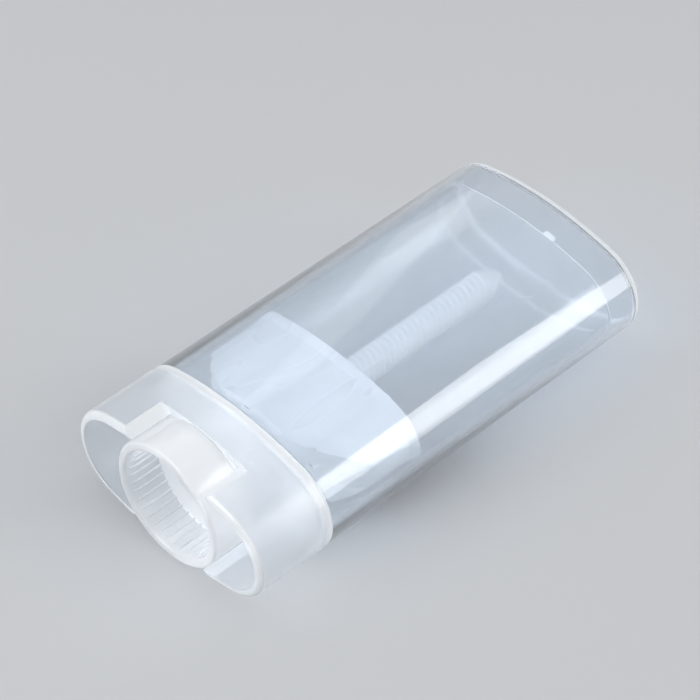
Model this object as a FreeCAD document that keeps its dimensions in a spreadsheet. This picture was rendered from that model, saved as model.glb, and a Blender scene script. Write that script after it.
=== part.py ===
import FreeCAD, Part
import math
import os
import re
import Sketcher

# Twist-up lip balm container of oval section, lying on one wide face.
#
# Every piece is drawn about the container's long axis, which is the X axis of the piece's own frame:
# X = 0 at the open end of the base, +X towards the closed end of the cap, Y across the narrow ends and
# Z across the wide faces. One Placement then sets each piece down with the twist wheel on Z = 0 and the
# middle of the container's length at X = 0.
#
# An oval is four tangent arcs: two end arcs and two flatter face arcs. Every oval here is the base's own
# oval moved inwards by a distance, so walls and clearances are even all the way round.

doc = FreeCAD.newDocument("lip_balm_container")

# ---------------------------------------------------------------------------------------------------------
# Driving dimensions, in millimetres (draft in degrees)
# ---------------------------------------------------------------------------------------------------------

SIZES = [
    # base shell, floor and collar
    ("body_width", 35.3, "base across its narrow ends"),
    ("body_depth", 17.6, "base across its wide faces"),
    ("face_crown", 1.2, "half the depth less the radius of the narrow ends"),
    ("base_length", 12.4, "open end of the base to its shoulder"),
    ("base_wall", 1.2, "wall of the base shell"),
    ("base_edge_radius", 0.9, "rounding of the base's open edge"),
    ("shoulder_thickness", 1.0, "step that joins the base shell to the product tube"),
    ("floor_thickness", 1.2, "floor between base and product tube"),
    ("collar_wall", 1.1, "wall of the collar under the floor"),
    ("collar_gap", 0.2, "collar to the wheel's hub"),
    ("collar_end_gap", 0.6, "collar to the back of the wheel"),
    ("window_gap", 0.35, "wheel to the sides and the end of a window"),
    ("window_flare", 2.4, "how much wider a window's side is outside than inside"),
    # product tube
    ("tube_length", 53.0, "shoulder to the rim of the product tube"),
    ("tube_wall", 0.95, "wall of the product tube"),
    ("rim_radius", 0.2, "rounding of the product tube's rim"),
    ("tab_width", 1.8, "tab on the rim"),
    ("tab_height", 0.8, "tab on the rim"),
    ("tab_offset", 4.4, "tab from the middle of the wide face"),
    ("bump_radius", 1.0, "section radius of a cap-retaining bump"),
    ("bump_proud", 0.18, "how far a bump stands out of the product tube"),
    ("bump_length", 1.0, "bump along the tube"),
    ("bump_rise", 1.6, "shoulder to the near end of a bump"),
    ("bump_turn", 17.0, "outer bumps, degrees round the end arc from the wide face"),
    # cap
    ("cap_headroom", 4.6, "rim of the product tube to the inside of the closed end"),
    ("cap_wall", 0.8, "side wall of the cap"),
    ("cap_end_wall", 1.0, "closed end of the cap"),
    ("cap_seam", 0.1, "cap's mouth to the shoulder"),
    ("cap_set_in", 0.1, "cap inside the base's outline at the mouth"),
    ("cap_gap", 0.15, "product tube to cap at the closed end"),
    ("cap_draft", 0.15, "mould draft of the cap, degrees"),
    ("cap_outer_radius", 1.3, "outer rounding of the closed end"),
    ("cap_inner_radius", 0.7, "inner rounding of the closed end"),
    # twist wheel and screw
    ("wheel_proud", 0.7, "wheel beyond the base's wide faces"),
    ("wheel_past", 0.3, "wheel beyond the open end of the base"),
    ("wheel_length", 6.6, "wheel along its axis"),
    ("wheel_wall", 1.4, "wall of the wheel's cup"),
    ("wheel_floor", 0.8, "floor of the wheel's cup"),
    ("wheel_edge_radius", 0.5, "rounding of the wheel's edges"),
    ("rib_count", 40, "grip ribs inside the wheel's cup"),
    ("rib_height", 0.3, "rib above the cup's wall"),
    ("rib_width", 0.4, "rib along the cup's wall"),
    ("rib_root", 0.2, "depth of a rib's root in the cup's wall"),
    ("rib_start", 0.5, "plain rim before the ribs start"),
    ("hub_wall", 0.9, "wall of the hub that turns in the collar"),
    ("hub_room", 2.3, "inside of the hub to the neck"),
    ("neck_step", 0.05, "neck through the floor beyond the outside of the thread"),
    ("neck_gap", 0.1, "neck to the hole in the floor"),
    ("barb_catch", 0.5, "snap barb beyond the hole in the floor"),
    ("barb_length", 1.0, "snap barb along the axis"),
    ("axial_play", 0.15, "wheel's play along its axis, each side of the floor"),
    ("screw_radius", 2.25, "outside of the lifting thread"),
    ("screw_short", 4.8, "tip of the screw to the rim of the product tube"),
    ("tip_length", 3.2, "conical tip of the screw"),
    ("tip_radius", 0.8, "blunt end of the conical tip"),
    # lift platform, drawn fully wound down
    ("platform_clear", 0.25, "snap barb to the underside of the platform"),
    ("platform_height", 15.0, "underside to rim of the platform"),
    ("platform_wall", 0.9, "walls and floor of the platform"),
    ("keel_half_width", 3.5, "flat of the platform's underside, each side of the middle"),
    ("keel_radius", 1.2, "rounding of the underside to the wide faces"),
    ("bilge_flare", 0.3, "where the underside's corner rounding would end, beyond the platform's side"),
    ("seal_gap", 0.1, "sealing lip to the product tube's bore"),
    ("seal_height", 1.4, "sealing lip along the axis"),
    ("skirt_inset", 0.6, "skirt inside the sealing lip"),
    ("nut_gap", 0.08, "nut to screw"),
    ("nut_wall", 1.2, "wall of the nut"),
    ("nut_height", 7.0, "nut above the underside of the platform"),
    ("web_thickness", 1.0, "web between the nut and the wide faces"),
]

# Places and sizes that follow from the driving dimensions
FORMULAS = {
    "end_radius": "body_depth / 2 - face_crown",
    "end_centre": "body_width / 2 - end_radius",
    "face_radius": "(end_centre ^ 2 + (body_depth / 2) ^ 2 - end_radius ^ 2) / (2 * face_crown)",
    "face_centre": "face_radius - body_depth / 2",
    "cap_length": "tube_length + cap_headroom + cap_end_wall - cap_seam",
    "cap_rise": "cap_length * tan(cap_draft * 1 deg)",
    "cap_bore_inset": "cap_set_in + cap_wall",
    "tube_inset": "cap_bore_inset + cap_rise + cap_gap",
    "bore_inset": "tube_inset + tube_wall",
    "seal_inset": "bore_inset + seal_gap",
    "platform_inset": "seal_inset + skirt_inset",
    "basin_inset": "platform_inset + platform_wall",
    "shoulder_under": "base_length - shoulder_thickness",
    "floor_top": "base_length + floor_thickness",
    "rim_place": "base_length + tube_length",
    "cap_mouth": "base_length + cap_seam",
    "cap_end": "cap_mouth + cap_length",
    "wheel_radius": "body_depth / 2 + wheel_proud",
    "cup_radius": "wheel_radius - wheel_wall",
    "wheel_back": "wheel_length - wheel_past",
    "cup_floor": "wheel_back - wheel_floor",
    "hub_top": "base_length - axial_play",
    "neck_radius": "screw_radius + neck_step",
    "hub_bore": "neck_radius + hub_room",
    "hub_radius": "hub_bore + hub_wall",
    "collar_bore": "hub_radius + collar_gap",
    "collar_end": "wheel_back + collar_end_gap",
    "floor_hole": "neck_radius + neck_gap",
    "barb_low": "floor_top + axial_play",
    "barb_top": "barb_low + barb_length",
    "barb_radius": "floor_hole + barb_catch",
    "screw_tip": "rim_place - screw_short",
    "window_squares": "(face_radius - base_wall) ^ 2 - wheel_radius ^ 2 - face_centre ^ 2",
    "window_inner": "window_squares / (2 * face_centre)",
    "window_half": "sqrt(wheel_radius ^ 2 - window_inner ^ 2) + window_gap",
    "window_end": "wheel_back + window_gap",
    "bump_sink": "bump_radius - bump_proud",
    "platform_low": "barb_top + platform_clear",
    "platform_rim": "platform_low + platform_height",
    "platform_half": "body_width / 2 - platform_inset",
    "platform_face": "body_depth / 2 - platform_inset",
    "bilge_radius": "platform_half + bilge_flare - keel_half_width",
    "nut_bore": "screw_radius + nut_gap",
    "nut_radius": "nut_bore + nut_wall",
    "container_middle": "(cap_end - wheel_past) / 2",
}

sheet = doc.addObject("Spreadsheet::Sheet", "Sizes")
for row, (alias, size, words) in enumerate(SIZES, start=1):
    sheet.set("A%d" % row, alias)
    sheet.set("B%d" % row, str(size))
    sheet.set("C%d" % row, words)
    sheet.setAlias("B%d" % row, alias)
doc.recompute()
ALIASES = [alias for alias, size, words in SIZES]


def formula(text):
    """Write a formula in the names above as an expression on the sheet."""
    def swap(match):
        word = match.group(0)
        if word in FORMULAS:
            return "(" + formula(FORMULAS[word]) + ")"
        if word in ALIASES:
            return "Sizes." + word
        return word
    return re.sub(r"[a-z_]+", swap, text)


def value(text):
    """The present value of a formula."""
    result = sheet.evalExpression(formula(text))
    return float(getattr(result, "Value", result))


# ---------------------------------------------------------------------------------------------------------
# Bodies and sketches
# ---------------------------------------------------------------------------------------------------------

def new_body(label):
    """A body whose own X axis is the container's long axis."""
    body = doc.addObject("PartDesign::Body", label)
    body.Label = label
    return body


def set_down(body):
    """Move a finished piece from its own frame to the container's, with the wheel on Z = 0."""
    body.setExpression("Placement.Base.x", formula("-container_middle"))
    body.setExpression("Placement.Base.z", formula("wheel_radius"))


def origin_feature(body, role):
    for part_of_origin in body.Origin.OriginFeatures:
        if part_of_origin.Role == role:
            return part_of_origin
    raise RuntimeError("no origin feature " + role)


def new_sketch(body, name, plane="YZ_Plane", along="0"):
    """A sketch on one of the body's own planes, moved along the plane's normal by a formula."""
    sketch = body.newObject("Sketcher::SketchObject", name)
    sketch.AttachmentSupport = [(origin_feature(body, plane), "")]
    sketch.MapMode = "FlatFace"
    sketch.setExpression("AttachmentOffset.Base.z", formula(along))
    return sketch


def bind(sketch, constraint, text):
    """Add a driving constraint and tie it to a formula."""
    index = sketch.addConstraint(constraint)
    sketch.setExpression("Constraints[%d]" % index, formula(text))


def place(sketch, geometry, point, x, y):
    """Tie one point of a sketch to the origin by two formulas, either of which may be zero."""
    for kind, axis, text in (("DistanceX", -2, x), ("DistanceY", -1, y)):
        if abs(value(text)) < 1e-9:
            sketch.addConstraint(Sketcher.Constraint("PointOnObject", geometry, point, axis))
        else:
            bind(sketch, Sketcher.Constraint(kind, -1, 1, geometry, point, value(text)), text)


def join(sketch, *ends):
    """Make pairs of (geometry, point, geometry, point) coincident."""
    for this, this_point, other, other_point in ends:
        sketch.addConstraint(Sketcher.Constraint("Coincident", this, this_point, other, other_point))


def add_arc(sketch, centre, radius, start, stop):
    """An arc from angle start to angle stop, anticlockwise."""
    round_it = Part.Circle(FreeCAD.Vector(centre[0], centre[1], 0), FreeCAD.Vector(0, 0, 1), radius)
    return sketch.addGeometry(Part.ArcOfCircle(round_it, start, stop), False)


def add_line(sketch, start, stop):
    return sketch.addGeometry(Part.LineSegment(FreeCAD.Vector(*start, 0), FreeCAD.Vector(*stop, 0)), False)


def oval(sketch, inset):
    """The base's oval moved inwards by inset: two end arcs and two face arcs, all tangent."""
    end_radius = value("end_radius - (%s)" % inset)
    face_radius = value("face_radius - (%s)" % inset)
    end_centre = value("end_centre")
    face_centre = value("face_centre")
    turn = math.atan2(face_centre, end_centre)
    right = add_arc(sketch, (end_centre, 0), end_radius, -turn, turn)
    top = add_arc(sketch, (0, -face_centre), face_radius, turn, math.pi - turn)
    left = add_arc(sketch, (-end_centre, 0), end_radius, math.pi - turn, math.pi + turn)
    bottom = add_arc(sketch, (0, face_centre), face_radius, math.pi + turn, 2 * math.pi - turn)
    for this, following in ((right, top), (top, left), (left, bottom), (bottom, right)):
        sketch.addConstraint(Sketcher.Constraint("Tangent", this, 2, following, 1))
    sketch.addConstraint(Sketcher.Constraint("PointOnObject", right, 3, -1))
    sketch.addConstraint(Sketcher.Constraint("PointOnObject", left, 3, -1))
    sketch.addConstraint(Sketcher.Constraint("PointOnObject", top, 3, -2))
    sketch.addConstraint(Sketcher.Constraint("Equal", right, left))
    sketch.addConstraint(Sketcher.Constraint("Equal", top, bottom))
    bind(sketch, Sketcher.Constraint("DistanceX", -1, 1, right, 3, end_centre), "end_centre")
    bind(sketch, Sketcher.Constraint("Radius", right, end_radius), "end_radius - (%s)" % inset)
    bind(sketch, Sketcher.Constraint("Radius", top, face_radius), "face_radius - (%s)" % inset)


def circle(sketch, radius):
    """A circle about the container's axis."""
    round_it = Part.Circle(FreeCAD.Vector(0, 0, 0), FreeCAD.Vector(0, 0, 1), value(radius))
    index = sketch.addGeometry(round_it, False)
    join(sketch, (index, 3, -1, 1))
    bind(sketch, Sketcher.Constraint("Radius", index, value(radius)), radius)


def polygon(sketch, points):
    """A closed outline of straight lines. Each corner is a pair of formulas."""
    corners = [(value(x), value(y)) for x, y in points]
    following = corners[1:] + corners[:1]
    lines = [add_line(sketch, start, end) for start, end in zip(corners, following)]
    for this, following in zip(lines, lines[1:] + lines[:1]):
        join(sketch, (this, 2, following, 1))
    for line, (x, y) in zip(lines, points):
        place(sketch, line, 1, x, y)


def box_outline(sketch, low_x, high_x, low_y, high_y):
    """A rectangle between four formulas."""
    polygon(sketch, [(low_x, low_y), (high_x, low_y), (high_x, high_y), (low_x, high_y)])


# ---------------------------------------------------------------------------------------------------------
# Features
# ---------------------------------------------------------------------------------------------------------

def finish_feature(body, made):
    body.Tip = made
    doc.recompute()
    return made


def extrude(body, kind, name, sketch, length, reverse=False, taper=None):
    """A Pad or a Pocket of a sketch to a length."""
    made = body.newObject("PartDesign::" + kind, name)
    made.Profile = sketch
    made.Reversed = reverse
    made.setExpression("Length", formula(length))
    if taper is not None:
        made.setExpression("TaperAngle", formula(taper))
    return finish_feature(body, made)


def cut_through(body, name, sketch):
    """A Pocket of a sketch through everything on both sides of its plane."""
    made = body.newObject("PartDesign::Pocket", name)
    made.Profile = sketch
    made.Type = "ThroughAll"
    made.SideType = "Symmetric"
    return finish_feature(body, made)


def round_ovals(body, name, base, x, inset, radius):
    """Round the edges of a feature that lie at x and belong to an oval of the given inset."""
    wanted = [value("end_radius - (%s)" % inset), value("face_radius - (%s)" % inset)]
    edges = []
    for index, edge in enumerate(base.Shape.Edges, start=1):
        box = edge.BoundBox
        flat = abs(box.XMin - value(x)) < 0.01 and abs(box.XMax - value(x)) < 0.01
        own_radius = getattr(edge.Curve, "Radius", -1)
        if flat and any(abs(own_radius - radius_of_arc) < 0.01 for radius_of_arc in wanted):
            edges.append("Edge%d" % index)
    if len(edges) != 4:
        raise RuntimeError("%s found %d edges" % (name, len(edges)))
    return round_edges(body, name, base, edges, radius)


def round_edges(body, name, base, edges, radius):
    made = body.newObject("PartDesign::Fillet", name)
    made.Base = (base, edges)
    made.setExpression("Radius", formula(radius))
    return finish_feature(body, made)


# ---------------------------------------------------------------------------------------------------------
# Tube body: base shell, floor, collar and product tube, one moulding
# ---------------------------------------------------------------------------------------------------------

def make_tube_body():
    body = new_body("tube_body")

    sketch = new_sketch(body, "BaseOutline")
    oval(sketch, "0")
    base = extrude(body, "Pad", "BaseShell", sketch, "base_length")
    round_ovals(body, "BaseEdge", base, "0", "0", "base_edge_radius")

    sketch = new_sketch(body, "TubeOutline", along="base_length")
    oval(sketch, "tube_inset")
    extrude(body, "Pad", "ProductTube", sketch, "tube_length")

    add_bumps(body)

    sketch = new_sketch(body, "BaseHollowOutline")
    oval(sketch, "base_wall")
    extrude(body, "Pocket", "BaseHollow", sketch, "shoulder_under", reverse=True)

    sketch = new_sketch(body, "FloorRecessOutline", along="shoulder_under")
    oval(sketch, "bore_inset")
    extrude(body, "Pocket", "FloorRecess", sketch, "shoulder_thickness", reverse=True)

    sketch = new_sketch(body, "BoreOutline", along="rim_place")
    oval(sketch, "bore_inset")
    bore = extrude(body, "Pocket", "Bore", sketch, "tube_length - floor_thickness")
    outer_rim = round_ovals(body, "OuterRim", bore, "rim_place", "tube_inset", "rim_radius")
    round_ovals(body, "InnerRim", outer_rim, "rim_place", "bore_inset", "rim_radius")

    sketch = new_sketch(body, "CollarOutline", along="collar_end")
    circle(sketch, "collar_bore")
    circle(sketch, "collar_bore + collar_wall")
    extrude(body, "Pad", "Collar", sketch, "base_length - collar_end")

    sketch = new_sketch(body, "FloorHoleOutline")
    circle(sketch, "floor_hole")
    extrude(body, "Pocket", "FloorHole", sketch, "floor_top", reverse=True)

    cut_windows(body)
    add_tab(body)
    return body


def add_bumps(body):
    """Three bumps on each wide face hold the cap: each is a short round bar sunk in the tube's wall."""
    sketch = new_sketch(body, "BumpOutline", along="base_length + bump_rise")
    places = [("0", "%s(body_depth / 2 - tube_inset - bump_sink)" % side) for side in ("", "-")]
    reach = "(end_radius - tube_inset - bump_sink)"
    for side in ("", "-"):
        for face in ("", "-"):
            across = "%s(end_centre + %s * sin(bump_turn * 1 deg))" % (side, reach)
            up = "%s(%s * cos(bump_turn * 1 deg))" % (face, reach)
            places.append((across, up))
    for across, up in places:
        centre = FreeCAD.Vector(value(across), value(up), 0)
        outline = Part.Circle(centre, FreeCAD.Vector(0, 0, 1), value("bump_radius"))
        index = sketch.addGeometry(outline, False)
        place(sketch, index, 3, across, up)
        bind(sketch, Sketcher.Constraint("Radius", index, value("bump_radius")), "bump_radius")
    extrude(body, "Pad", "Bumps", sketch, "bump_length")


def cut_windows(body):
    """A window in each wide face lets the wheel stand proud. Its sides flare outwards for the fingers."""
    sketch = new_sketch(body, "WindowOutline")
    inner_up = "window_inner - base_wall"
    outer_up = "window_inner + base_wall"
    clear_up = "body_depth / 2 + base_wall"
    for side in ("", "-"):
        polygon(sketch, [
            ("window_half", "%s(%s)" % (side, inner_up)),
            ("window_half", "%s(window_inner)" % side),
            ("window_half + window_flare", "%s(%s)" % (side, outer_up)),
            ("window_half + window_flare", "%s(%s)" % (side, clear_up)),
            ("-(window_half + window_flare)", "%s(%s)" % (side, clear_up)),
            ("-(window_half + window_flare)", "%s(%s)" % (side, outer_up)),
            ("-window_half", "%s(window_inner)" % side),
            ("-window_half", "%s(%s)" % (side, inner_up)),
        ])
    extrude(body, "Pocket", "Windows", sketch, "window_end", reverse=True)


def add_tab(body):
    """A small tab stands on the rim over the upper wide face and has the wall's own section."""
    sketch = new_sketch(body, "TabOutline", along="rim_place - rim_radius")
    face_centre = value("face_centre")
    near = value("-(tab_offset - tab_width / 2)")
    far = value("-(tab_offset + tab_width / 2)")
    outer_radius = value("face_radius - tube_inset")
    inner_radius = value("face_radius - bore_inset")

    def on_arc(x, radius):
        return (x, math.sqrt(radius ** 2 - x ** 2) - face_centre)

    def turn(x, radius):
        return math.acos(x / radius)

    centre = (0, -face_centre)
    outer = add_arc(sketch, centre, outer_radius, turn(near, outer_radius), turn(far, outer_radius))
    inner = add_arc(sketch, centre, inner_radius, turn(near, inner_radius), turn(far, inner_radius))
    near_side = add_line(sketch, on_arc(near, inner_radius), on_arc(near, outer_radius))
    far_side = add_line(sketch, on_arc(far, outer_radius), on_arc(far, inner_radius))
    join(sketch, (near_side, 2, outer, 1), (outer, 2, far_side, 1))
    join(sketch, (far_side, 2, inner, 2), (inner, 1, near_side, 1))
    join(sketch, (inner, 3, outer, 3))
    for line in (near_side, far_side):
        sketch.addConstraint(Sketcher.Constraint("Vertical", line))
    place(sketch, outer, 3, "0", "-face_centre")
    bind(sketch, Sketcher.Constraint("Radius", outer, outer_radius), "face_radius - tube_inset")
    bind(sketch, Sketcher.Constraint("Radius", inner, inner_radius), "face_radius - bore_inset")
    near_edge = Sketcher.Constraint("DistanceX", -1, 1, near_side, 1, near)
    bind(sketch, near_edge, "-(tab_offset - tab_width / 2)")
    bind(sketch, Sketcher.Constraint("DistanceX", -1, 1, far_side, 1, far), "-(tab_offset + tab_width / 2)")
    extrude(body, "Pad", "Tab", sketch, "tab_height + rim_radius")


# ---------------------------------------------------------------------------------------------------------
# Cap: one drafted shell with a closed end
# ---------------------------------------------------------------------------------------------------------

def make_cap():
    body = new_body("cap")

    sketch = new_sketch(body, "CapOutline", along="cap_mouth")
    oval(sketch, "cap_set_in")
    shell = extrude(body, "Pad", "CapShell", sketch, "cap_length", taper="-cap_draft")
    end = round_ovals(body, "EndEdge", shell, "cap_end", "cap_set_in + cap_rise", "cap_outer_radius")

    sketch = new_sketch(body, "CapBoreOutline", along="cap_mouth")
    oval(sketch, "cap_bore_inset")
    depth = "(cap_length - cap_end_wall)"
    bore = extrude(body, "Pocket", "CapBore", sketch, depth, reverse=True, taper="-cap_draft")
    inset = "cap_bore_inset + %s * tan(cap_draft * 1 deg)" % depth
    round_ovals(body, "InnerEndEdge", bore, "cap_mouth + %s" % depth, inset, "cap_inner_radius")
    return body


# ---------------------------------------------------------------------------------------------------------
# Twist wheel: ribbed cup, hub, snap barb and lifting screw, one moulding
# ---------------------------------------------------------------------------------------------------------

def make_twist_wheel():
    body = new_body("twist_wheel")

    sketch = new_sketch(body, "WheelProfile", plane="XZ_Plane")
    polygon(sketch, [
        ("cup_floor", "0"),
        ("screw_tip", "0"),
        ("screw_tip", "tip_radius"),
        ("screw_tip - tip_length", "screw_radius"),
        ("barb_top", "screw_radius"),
        ("barb_low", "barb_radius"),
        ("barb_low", "neck_radius"),
        ("wheel_back", "neck_radius"),
        ("wheel_back", "hub_bore"),
        ("hub_top", "hub_bore"),
        ("hub_top", "hub_radius"),
        ("wheel_back", "hub_radius"),
        ("wheel_back", "wheel_radius"),
        ("-wheel_past", "wheel_radius"),
        ("-wheel_past", "cup_radius"),
        ("cup_floor", "cup_radius"),
    ])
    turned = body.newObject("PartDesign::Revolution", "WheelTurned")
    turned.Profile = sketch
    turned.ReferenceAxis = (sketch, ["H_Axis"])
    turned.Angle = 360
    finish_feature(body, turned)

    edges = []
    for index, edge in enumerate(turned.Shape.Edges, start=1):
        at_front = abs(edge.BoundBox.XMax + value("wheel_past")) < 0.01
        at_back = abs(edge.BoundBox.XMin - value("wheel_back")) < 0.01
        outside = abs(getattr(edge.Curve, "Radius", -1) - value("wheel_radius")) < 0.01
        if at_front or (at_back and outside):
            edges.append("Edge%d" % index)
    if len(edges) != 3:
        raise RuntimeError("WheelEdges found %d edges" % len(edges))
    round_edges(body, "WheelEdges", turned, edges, "wheel_edge_radius")

    sketch = new_sketch(body, "RibOutline", along="rib_start - wheel_past")
    inner_end = "cup_radius - rib_height"
    outer_end = "cup_radius + rib_root"
    box_outline(sketch, "-rib_width / 2", "rib_width / 2", inner_end, outer_end)
    rib = extrude(body, "Pad", "Rib", sketch, "cup_floor - rib_start + wheel_past")
    ribs = body.newObject("PartDesign::PolarPattern", "Ribs")
    ribs.Originals = [rib]
    ribs.Axis = (origin_feature(body, "X_Axis"), [""])
    ribs.Angle = 360
    ribs.setExpression("Occurrences", formula("rib_count"))
    finish_feature(body, ribs)
    return body


# ---------------------------------------------------------------------------------------------------------
# Lift platform: boat-bottomed basin with a sealing lip and a nut held between two webs, one moulding
# ---------------------------------------------------------------------------------------------------------

def corner_outline(sketch, mark, low, centre, radius):
    """What lies outside a quarter circle that starts square to the X axis at low and ends along it.

    The circle's centre is a distance centre from the X axis, on the side given by mark.
    """
    high = "(%s + %s)" % (low, radius)
    side = "(%s + %s)" % (centre, radius)
    clear = "(%s + platform_wall)" % side
    under = "(platform_low - platform_wall)"
    corners = [(low, centre), (under, centre), (under, clear), (high, clear), (high, side)]
    start, low_end, high_end = (math.pi / 2, 2, 1) if mark == "" else (math.pi, 1, 2)
    centre_at = (value(high), value(mark + centre))
    rounding = add_arc(sketch, centre_at, value(radius), start, start + math.pi / 2)
    ends = [(value(x), value(mark + y)) for x, y in corners]
    lines = [add_line(sketch, this, following) for this, following in zip(ends, ends[1:])]
    for this, following in zip(lines, lines[1:]):
        join(sketch, (this, 2, following, 1))
    join(sketch, (rounding, low_end, lines[0], 1), (rounding, high_end, lines[-1], 2))
    place(sketch, rounding, 3, high, mark + centre)
    for line, (x, y) in list(zip(lines, corners))[1:]:
        place(sketch, line, 1, x, mark + y)
    sketch.addConstraint(Sketcher.Constraint("Horizontal", lines[0]))
    sketch.addConstraint(Sketcher.Constraint("Vertical", lines[-1]))
    bind(sketch, Sketcher.Constraint("Radius", rounding, value(radius)), radius)


def trim_bilges(body, inset):
    """Round the underside's corners as seen from above, like the bilges of a boat."""
    sketch = new_sketch(body, "BilgeOutline", plane="XY_Plane")
    for mark in ("", "-"):
        low = "(platform_low + %s)" % inset
        radius = "(bilge_radius - %s)" % inset
        corner_outline(sketch, mark, low, "keel_half_width", radius)
    cut_through(body, "Bilges", sketch)


def round_keel(body):
    """Round the underside to the wide faces."""
    sketch = new_sketch(body, "KeelOutline", plane="XZ_Plane")
    for mark in ("", "-"):
        corner_outline(sketch, mark, "platform_low", "(platform_face - keel_radius)", "keel_radius")
    cut_through(body, "Keel", sketch)


def make_basin_form():
    """The room inside the platform, which is cut out of it."""
    body = new_body("basin_form")
    sketch = new_sketch(body, "BasinOutline", along="platform_low + platform_wall")
    oval(sketch, "basin_inset")
    extrude(body, "Pad", "BasinPrism", sketch, "platform_height")
    trim_bilges(body, "platform_wall")
    return body


def make_lift_platform():
    body = new_body("lift_platform")

    sketch = new_sketch(body, "PlatformOutline", along="platform_low")
    oval(sketch, "platform_inset")
    extrude(body, "Pad", "PlatformPrism", sketch, "platform_height")

    sketch = new_sketch(body, "LipOutline", along="platform_rim")
    oval(sketch, "seal_inset")
    flare = "-atan(skirt_inset / seal_height)"
    extrude(body, "Pad", "SealingLip", sketch, "seal_height", reverse=True, taper=flare)

    trim_bilges(body, "0")
    round_keel(body)

    basin = body.newObject("PartDesign::Boolean", "Basin")
    basin.setObjects([make_basin_form()])
    basin.Type = "Cut"
    finish_feature(body, basin)

    sketch = new_sketch(body, "NutOutline", along="platform_low + platform_wall / 2")
    circle(sketch, "nut_radius")
    extrude(body, "Pad", "Nut", sketch, "nut_height - platform_wall / 2")

    sketch = new_sketch(body, "WebOutline", along="platform_low + platform_wall / 2")
    web_reach = "platform_face - platform_wall / 2"
    box_outline(sketch, "-web_thickness / 2", "web_thickness / 2", "-(%s)" % web_reach, web_reach)
    extrude(body, "Pad", "Webs", sketch, "nut_height - platform_wall / 2")

    sketch = new_sketch(body, "NutBoreOutline", along="platform_rim")
    circle(sketch, "nut_bore")
    extrude(body, "Pocket", "NutBore", sketch, "platform_height")
    return body


# ---------------------------------------------------------------------------------------------------------
# The container
# ---------------------------------------------------------------------------------------------------------

pieces = [make_tube_body(), make_cap(), make_twist_wheel(), make_lift_platform()]
for piece in pieces:
    set_down(piece)
doc.recompute()

failed = [thing.Name for thing in doc.Objects if "Invalid" in thing.State or "Error" in thing.State]
if failed:
    raise RuntimeError("failed: " + ", ".join(failed))
for piece in pieces:
    if piece.Shape.isNull() or not piece.Shape.isValid():
        raise RuntimeError("bad shape: " + piece.Label)

os.makedirs("parts", exist_ok=True)
for piece in pieces:
    piece.Shape.exportStep("parts/%s.step" % piece.Label)
    print(piece.Label, len(piece.Shape.Solids), "solid,", round(piece.Shape.Volume, 1), "cubic millimetres")
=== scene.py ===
"""Looks of a twist-up lip balm container, laid out as a Blender add-on and run as a script.

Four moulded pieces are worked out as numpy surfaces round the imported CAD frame: a clear cap, a frosted
tube body, a milky twist wheel with its lifting screw, and a milky lift platform. Lengths inside the surface
functions are in millimetres, measured along the tube from the base's open end and across from its axis.
"""

import math

import bmesh
import bpy
import numpy as np
from mathutils import Matrix, Vector


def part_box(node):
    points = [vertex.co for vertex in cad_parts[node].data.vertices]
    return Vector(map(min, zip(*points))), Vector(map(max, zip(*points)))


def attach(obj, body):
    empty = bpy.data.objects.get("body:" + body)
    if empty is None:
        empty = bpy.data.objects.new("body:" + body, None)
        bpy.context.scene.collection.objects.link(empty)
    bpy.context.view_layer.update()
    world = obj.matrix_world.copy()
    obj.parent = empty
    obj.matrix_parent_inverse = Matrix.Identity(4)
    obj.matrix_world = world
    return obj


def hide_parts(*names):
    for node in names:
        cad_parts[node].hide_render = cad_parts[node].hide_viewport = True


bl_info = {
    "name": "Lip Balm Container",
    "version": (1, 0, 0),
    "blender": (4, 5, 0),
    "location": "View3D > Sidebar > Lip Balm",
    "description": "Builds the moulded pieces of a twist-up lip balm container and a plain studio",
    "category": "Object",
}

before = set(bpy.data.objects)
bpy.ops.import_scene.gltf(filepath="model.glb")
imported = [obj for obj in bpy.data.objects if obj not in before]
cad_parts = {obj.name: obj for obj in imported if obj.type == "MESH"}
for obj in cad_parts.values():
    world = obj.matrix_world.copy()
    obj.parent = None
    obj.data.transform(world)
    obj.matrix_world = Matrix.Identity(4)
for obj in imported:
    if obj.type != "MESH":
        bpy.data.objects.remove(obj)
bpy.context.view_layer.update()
MM = 0.001


def node_box(node):
    """Lowest and highest corner of a CAD node, in millimetres."""
    return [np.array(corner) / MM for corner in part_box(node)]


TUBE_LOW, TUBE_HIGH = node_box("tube_body")
CAP_LOW, CAP_HIGH = node_box("cap")
WHEEL_LOW, WHEEL_HIGH = node_box("twist_wheel")
PLATFORM_LOW, PLATFORM_HIGH = node_box("lift_platform")
ORIGIN = np.array([TUBE_LOW[0], *(WHEEL_LOW[1:] + WHEEL_HIGH[1:]) / 2])

# Oval section: two end arcs and two flatter face arcs that meet tangentially
BODY_WIDTH = TUBE_HIGH[1] - TUBE_LOW[1]
BODY_DEPTH = TUBE_HIGH[2] - TUBE_LOW[2]
FACE_CROWN = 1.2
END_RADIUS = BODY_DEPTH / 2 - FACE_CROWN
END_CENTRE = BODY_WIDTH / 2 - END_RADIUS
FACE_RADIUS = (END_CENTRE**2 + (BODY_DEPTH / 2) ** 2 - END_RADIUS**2) / (2 * FACE_CROWN)
FACE_CENTRE = FACE_RADIUS - BODY_DEPTH / 2
JOINT_TURN = math.atan2(FACE_CENTRE, END_CENTRE)

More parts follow.
